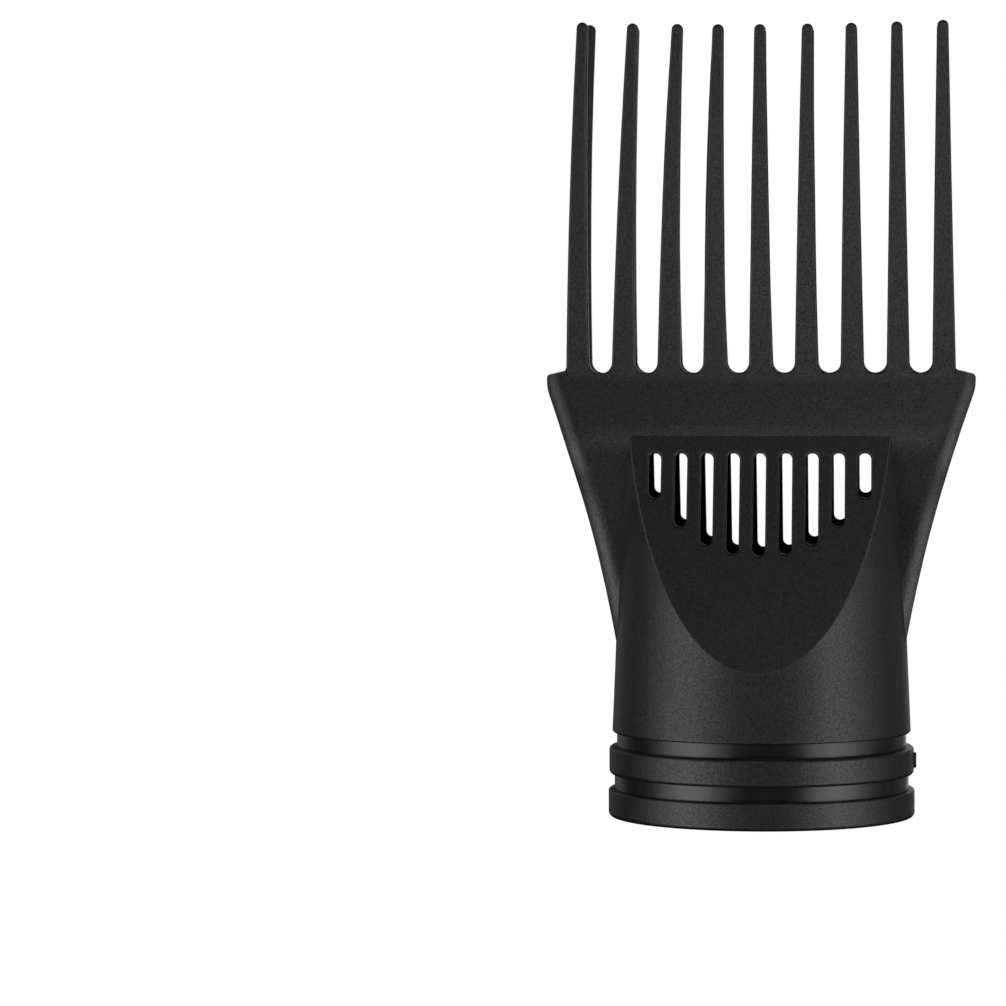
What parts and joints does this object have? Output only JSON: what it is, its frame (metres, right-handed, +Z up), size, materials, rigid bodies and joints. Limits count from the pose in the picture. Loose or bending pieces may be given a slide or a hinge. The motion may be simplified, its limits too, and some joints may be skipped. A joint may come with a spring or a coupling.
{
  "type": "hair dryer comb nozzle",
  "caption": "Black comb nozzle for a hair dryer: a round push-on socket that flares into a flat vented duct ending in two parallel rows of long tapered teeth.",
  "frame": {"origin": "centre of the collar's bottom rim, on the plane that the nozzle stands on", "axes": "+Z up from the dryer's barrel to the tips of the teeth; X along the rows of teeth; -Y is the front face, +Y the back face"},
  "size_m": [0.0802, 0.0576, 0.149],
  "materials": {
    "shell_plastic": "fine spark-eroded texture, satin black",
    "sleeve_plastic": "polished black"
  },
  "bodies": {
    "root": {"front_shell": "shell_plastic", "back_shell": "shell_plastic", "socket_sleeve": "sleeve_plastic", "middle_hoop": "shell_plastic", "rim_hoop": "shell_plastic"}
  },
  "joints": []
}
